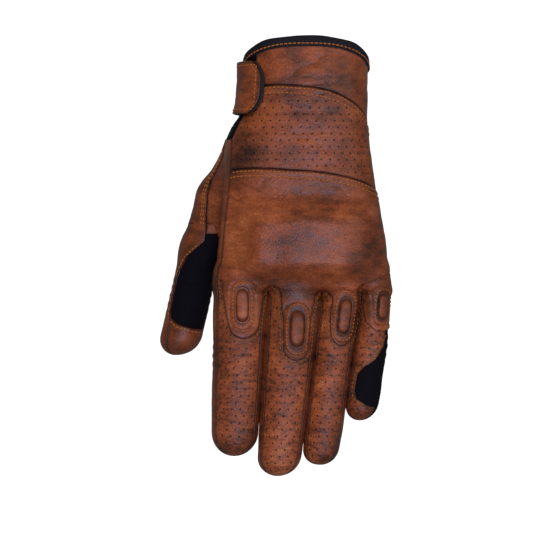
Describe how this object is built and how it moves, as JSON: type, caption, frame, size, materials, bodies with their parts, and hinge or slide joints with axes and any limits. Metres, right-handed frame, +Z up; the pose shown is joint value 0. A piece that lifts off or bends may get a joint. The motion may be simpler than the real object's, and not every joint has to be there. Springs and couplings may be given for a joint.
{
  "type": "riding glove",
  "caption": "Short-cuff leather riding glove for the left hand, with a raised knuckle guard, perforated panels, stretch inserts and a wrist strap.",
  "frame": {"origin": "centre of the wrist opening, level with the cuff's side edges", "axes": "+Z up out of the wrist opening, fingers towards -Z, back of the hand towards -Y, palm towards +Y, thumb towards -X"},
  "size_m": [0.1356, 0.0625, 0.2535],
  "materials": {
    "back_leather": "waxed and rubbed, semi-matt",
    "side_leather": "waxed, semi-matt",
    "stretch_fabric": "matt knitted stretch fabric",
    "binding": "matt binding tape",
    "hook_and_loop": "matt hook and loop tape",
    "foam": "soft closed-cell foam",
    "guard": "moulded hard shell",
    "lining": "soft brushed lining"
  },
  "bodies": {
    "hand": {"cuff_binding": "binding", "cuff_band": "back_leather", "palm_cuff": "side_leather", "wrist_panel": "back_leather", "back_panel": "back_leather", "palm_panel": "side_leather", "palm_patch": "side_leather", "palm_pad": "foam", "knuckle_guard": "guard", "guard_foam": "foam", "back_lining": "lining", "thumb_side_panel": "side_leather", "thumb_root": "side_leather", "thumb_web": "stretch_fabric", "wrist_gusset": "stretch_fabric", "loop_patch": "hook_and_loop", "strap_base": "back_leather"},
    "strap_tab_part": {"strap_tab": "back_leather", "hook_patch": "hook_and_loop"},
    "thumb_root_part": {"thumb_base_insert": "stretch_fabric", "thumb_base_outer": "side_leather", "thumb_base_palm": "side_leather"},
    "thumb_end_part": {"thumb_end_insert": "stretch_fabric", "thumb_end_cap": "side_leather", "thumb_end_outer": "side_leather", "thumb_end_palm": "side_leather"},
    "index_root": {"index_tongue": "back_leather", "index_root_sides": "side_leather", "index_root_palm": "side_leather", "index_pad": "foam"},
    "index_end": {"index_end_back": "back_leather", "index_end_sides": "side_leather", "index_end_palm": "side_leather"},
    "middle_root": {"middle_tongue": "back_leather", "middle_root_sides": "side_leather", "middle_root_palm": "side_leather", "middle_pad": "foam"},
    "middle_end": {"middle_end_back": "back_leather", "middle_end_sides": "side_leather", "middle_end_palm": "side_leather"},
    "ring_root": {"ring_tongue": "back_leather", "ring_root_sides": "side_leather", "ring_root_palm": "side_leather", "ring_pad": "foam"},
    "ring_end": {"ring_end_back": "back_leather", "ring_end_sides": "side_leather", "ring_end_palm": "side_leather"},
    "little_root": {"little_tongue": "back_leather", "little_root_sides": "side_leather", "little_root_palm": "side_leather", "little_pad": "foam"},
    "little_end": {"little_end_back": "back_leather", "little_end_sides": "side_leather", "little_end_palm": "side_leather", "little_stretch_insert": "stretch_fabric"}
  },
  "joints": [
    {"name": "index_root_bend", "type": "hinge", "parent": "hand", "child": "index_root", "pos_m": [-0.0393, 0, -0.132], "axis": [0.9997, 0, -0.0244], "range_deg": [0, 70], "stiffness_Nm_per_rad": 0.03},
    {"name": "index_end_bend", "type": "hinge", "parent": "index_root", "child": "index_end", "pos_m": [-0.04024, 0, -0.17049], "axis": [0.9997, 0, -0.0244], "range_deg": [0, 90], "stiffness_Nm_per_rad": 0.02},
    {"name": "middle_root_bend", "type": "hinge", "parent": "hand", "child": "middle_root", "pos_m": [-0.00582, -0.001, -0.1345], "axis": [0.9951, 0, -0.0993], "range_deg": [0, 70], "stiffness_Nm_per_rad": 0.03},
    {"name": "middle_end_bend", "type": "hinge", "parent": "middle_root", "child": "middle_end", "pos_m": [-0.01054, -0.001, -0.18177], "axis": [0.9951, 0, -0.0993], "range_deg": [0, 90], "stiffness_Nm_per_rad": 0.02},
    {"name": "ring_root_bend", "type": "hinge", "parent": "hand", "child": "ring_root", "pos_m": [0.02158, 0, -0.134], "axis": [0.9903, 0, -0.1392], "range_deg": [0, 70], "stiffness_Nm_per_rad": 0.03},
    {"name": "ring_end_bend", "type": "hinge", "parent": "ring_root", "child": "ring_end", "pos_m": [0.01601, 0, -0.17361], "axis": [0.9903, 0, -0.1392], "range_deg": [0, 90], "stiffness_Nm_per_rad": 0.02},
    {"name": "little_root_bend", "type": "hinge", "parent": "hand", "child": "little_root", "pos_m": [0.04208, 0.0015, -0.1305], "axis": [0.9903, 0, -0.1392], "range_deg": [0, 70], "stiffness_Nm_per_rad": 0.03},
    {"name": "little_end_bend", "type": "hinge", "parent": "little_root", "child": "little_end", "pos_m": [0.03728, 0.0015, -0.16466], "axis": [0.9903, 0, -0.1392], "range_deg": [0, 90], "stiffness_Nm_per_rad": 0.02},
    {"name": "thumb_swing", "type": "hinge", "parent": "hand", "child": "thumb_root_part", "pos_m": [-0.0614, 0.024, -0.11], "axis": [0, 1, 0], "range_deg": [0, 35], "stiffness_Nm_per_rad": 0.03},
    {"name": "thumb_end_bend", "type": "hinge", "parent": "thumb_root_part", "child": "thumb_end_part", "pos_m": [-0.06725, 0.024, -0.13533], "axis": [0.9744, 0, -0.225], "range_deg": [0, 60], "stiffness_Nm_per_rad": 0.02},
    {"name": "strap_open", "type": "hinge", "parent": "hand", "child": "strap_tab_part", "pos_m": [-0.04115, 0.00179, -0.016], "axis": [-0.0947, -0.002, -0.9955], "range_deg": [0, 120]}
  ]
}
